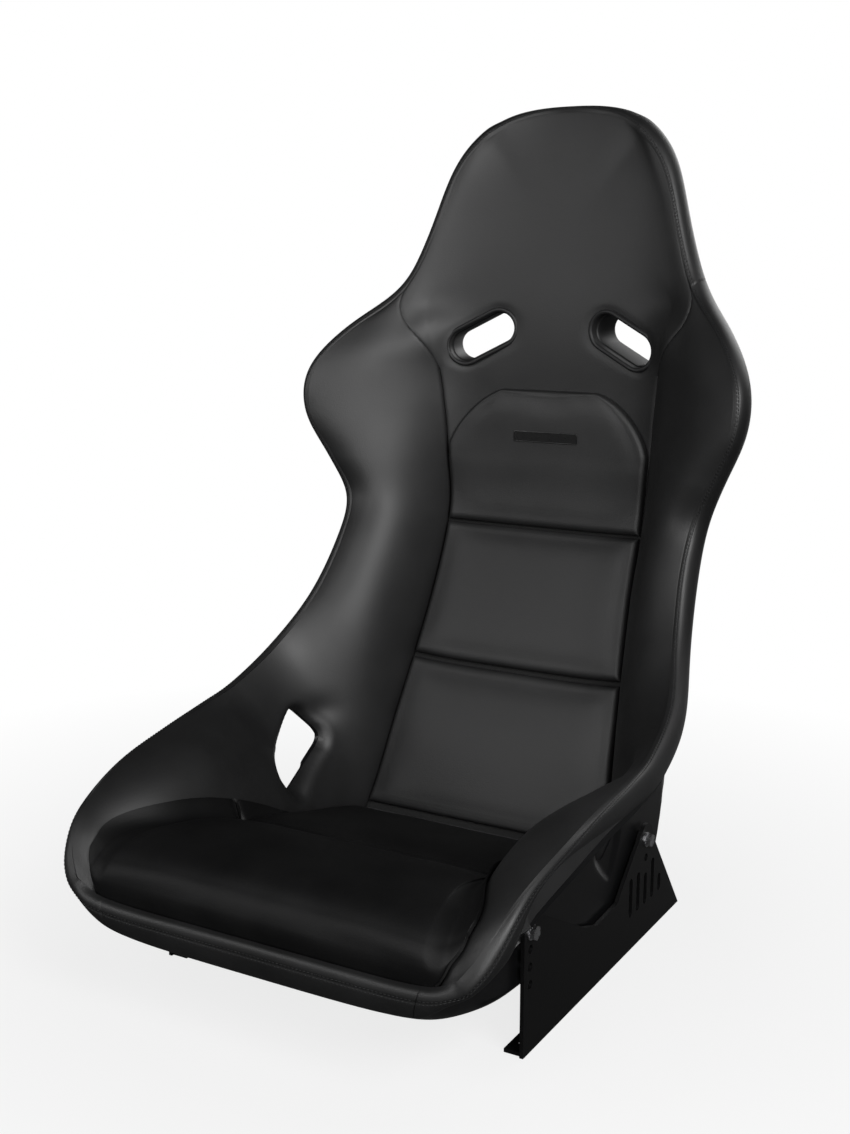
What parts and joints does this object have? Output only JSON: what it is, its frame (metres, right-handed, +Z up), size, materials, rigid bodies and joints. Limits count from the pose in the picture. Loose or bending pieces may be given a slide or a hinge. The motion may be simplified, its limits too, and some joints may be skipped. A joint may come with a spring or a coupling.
{
  "type": "racing seat",
  "caption": "Fixed-back bucket racing seat with high thigh and shoulder wings, harness slots, lap-belt openings, a lift-out cushion and upright steel side mounts.",
  "frame": {"origin": "centre of the four floor holes, in the plane of the undersides of the side mounts' flanges", "axes": "+X is the occupant's left, the seat faces -Y, +Z is up; X = 0 is the seat's plane of symmetry"},
  "size_m": [0.5724, 0.6909, 0.9235],
  "materials": {
    "shell": "black gel coat over moulded composite, gloss",
    "liner": "black needle felt",
    "foam": "dark grey open-cell foam under the covers",
    "leather": "black fine-grain leather, satin",
    "pad_leather": "black fine-grain leather, satin",
    "rim_leather": "black fine-grain leather, satin, twin-needle seam",
    "cushion_leather": "black fine-grain leather, satin",
    "badge": "bare black plate, semi-gloss",
    "trim": "black moulded plastic, fine satin texture",
    "grip": "black hook-and-loop tape",
    "mount_paint": "black powder coat, satin",
    "spacer": "black painted steel",
    "insert": "plated steel",
    "zinc": "bright zinc plate"
  },
  "bodies": {
    "seat": {"seat_shell": "shell", "pan_liner": "liner", "back_foam": "foam", "left_bolster": "leather", "right_bolster": "leather", "head_cover": "leather", "backrest_pad_lower": "pad_leather", "backrest_pad_middle": "pad_leather", "backrest_pad_upper": "pad_leather", "badge_plate": "badge", "front_lip_cover": "rim_leather", "left_rim_band": "rim_leather", "right_rim_band": "rim_leather", "head_rim_band": "rim_leather", "left_slot_bezel": "trim", "right_slot_bezel": "trim", "left_slot_ring": "trim", "right_slot_ring": "trim", "cushion_grip_strips": "grip", "left_side_mount": "mount_paint", "right_side_mount": "mount_paint", "mount_spacers": "spacer", "threaded_inserts": "insert", "mount_washers": "zinc", "mount_bolts": "zinc"},
    "cushion": {"cushion_front_roll": "cushion_leather", "cushion_rear_pad": "cushion_leather"}
  },
  "joints": [
    {"name": "cushion_lift", "type": "slide", "parent": "seat", "child": "cushion", "axis": [0, 0, 1], "range_m": [0, 0.12]}
  ]
}
